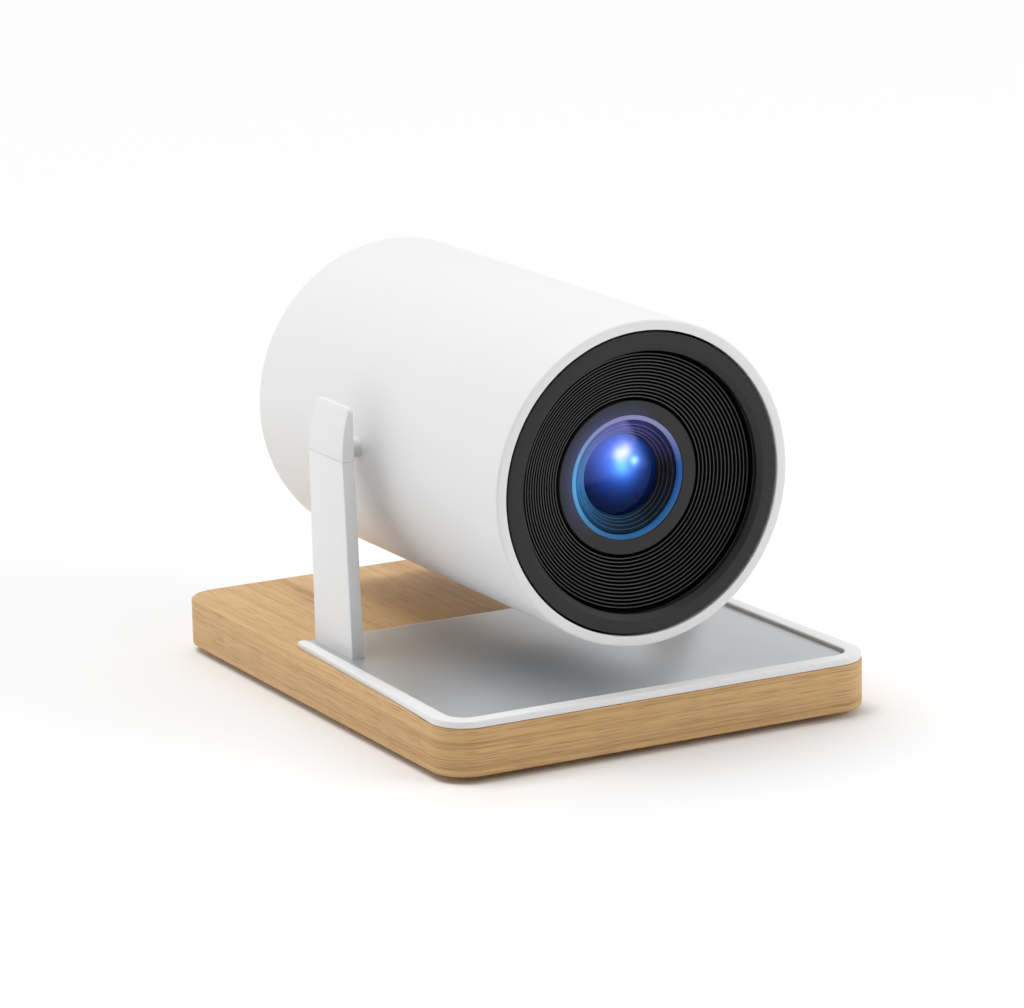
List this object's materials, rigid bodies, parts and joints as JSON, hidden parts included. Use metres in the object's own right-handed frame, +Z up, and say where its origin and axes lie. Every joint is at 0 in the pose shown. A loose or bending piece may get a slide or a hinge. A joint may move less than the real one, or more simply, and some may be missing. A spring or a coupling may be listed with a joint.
{
  "type": "home projector",
  "caption": "Drum-shaped home projector that tilts in a two-armed yoke on a wooden board with a metal deck.",
  "frame": {"origin": "on the table surface, under the middle of the board", "axes": "+Z up; the lens looks along -Y; +X is on the right of someone who looks along +Y at the lens"},
  "size_m": [0.178, 0.227, 0.156],
  "materials": {
    "oak": "satin",
    "white_paint": "satin",
    "white_plastic": "matte",
    "deck_metal": "satin",
    "steel": "satin",
    "bare_aluminium": "satin",
    "screw_brass": "satin",
    "dark_plastic": "matte",
    "black_plastic": "matte",
    "foot_rubber": "matte",
    "washer_acetal": "matte",
    "coated_glass": "gloss",
    "clear_glass": "gloss",
    "panel_glass": "gloss",
    "circuit_board": "gloss"
  },
  "bodies": {
    "stand": {"base_board": "oak", "rim_trim": "white_paint", "deck_plate": "deck_metal", "yoke_bar": "steel", "arm_left": "white_paint", "arm_right": "white_paint", "arm_cap_left": "white_paint", "arm_cap_right": "white_paint", "friction_washer_left": "washer_acetal", "friction_washer_right": "washer_acetal", "yoke_screw_left_front": "steel", "yoke_screw_left_rear": "steel", "yoke_screw_right_front": "steel", "yoke_screw_right_rear": "steel", "foot_front_left": "foot_rubber", "foot_front_right": "foot_rubber", "foot_rear_left": "foot_rubber", "foot_rear_right": "foot_rubber"},
    "head": {"barrel_shell": "white_paint", "pivot_pin_left": "steel", "pivot_pin_right": "steel", "rear_screw_left": "steel", "rear_screw_right": "steel", "focus_guide_rod_left": "steel", "focus_guide_rod_right": "steel", "focus_motor": "steel", "video_socket": "steel", "data_socket": "steel", "pivot_hub_left": "white_plastic", "pivot_hub_right": "white_plastic", "front_bezel": "dark_plastic", "rear_cover": "dark_plastic", "front_bulkhead": "dark_plastic", "baffle_cone": "black_plastic", "engine_case": "black_plastic", "fan_frame": "black_plastic", "speaker": "black_plastic", "audio_jack": "black_plastic", "power_inlet": "black_plastic", "fresnel_front": "clear_glass", "fresnel_rear": "clear_glass", "condenser_lens": "clear_glass", "lcd_panel": "panel_glass", "ir_window": "panel_glass", "led_board": "bare_aluminium", "heat_sink": "bare_aluminium", "main_board": "circuit_board", "key_board": "circuit_board", "port_board": "circuit_board"},
    "lens_group": {"lens_front_ring": "dark_plastic", "lens_barrel": "black_plastic", "front_lens": "coated_glass", "inner_lens": "coated_glass", "rear_lens": "clear_glass"},
    "focus_screw": {"focus_screw": "screw_brass"},
    "fan": {"fan_rotor": "black_plastic"},
    "power_key": {"power_button": "white_plastic"},
    "volume_down_key": {"volume_down_button": "white_plastic"},
    "volume_up_key": {"volume_up_button": "white_plastic"}
  },
  "joints": [
    {"name": "head_tilt", "type": "hinge", "parent": "stand", "child": "head", "pos_m": [0, 0.011, 0.096], "axis": [-1, 0, 0], "range_deg": [-7.2, 9]},
    {"name": "focus_slide", "type": "slide", "parent": "head", "child": "lens_group", "axis": [0, -1, 0], "range_m": [-0.0015, 0.0015]},
    {"name": "focus_screw_turn", "type": "hinge", "parent": "head", "child": "focus_screw", "pos_m": [0, -0.066, 0.06], "axis": [0, -1, 0], "range_deg": [-1080, 1080]},
    {"name": "fan_spin", "type": "hinge", "parent": "head", "child": "fan", "pos_m": [0, 0.0704, 0.096], "axis": [0, 1, 0], "continuous": true},
    {"name": "power_press", "type": "slide", "parent": "head", "child": "power_key", "axis": [0, -1, 0], "range_m": [0, 0.0008], "stiffness_N_per_m": 400, "springref_m": -0.001},
    {"name": "volume_down_press", "type": "slide", "parent": "head", "child": "volume_down_key", "axis": [0, -1, 0], "range_m": [0, 0.0008], "stiffness_N_per_m": 400, "springref_m": -0.001},
    {"name": "volume_up_press", "type": "slide", "parent": "head", "child": "volume_up_key", "axis": [0, -1, 0], "range_m": [0, 0.0008], "stiffness_N_per_m": 400, "springref_m": -0.001}
  ],
  "couplings": [
    {"joint": "focus_screw_turn", "follows": "focus_slide", "rad_per_m": 12566}
  ]
}
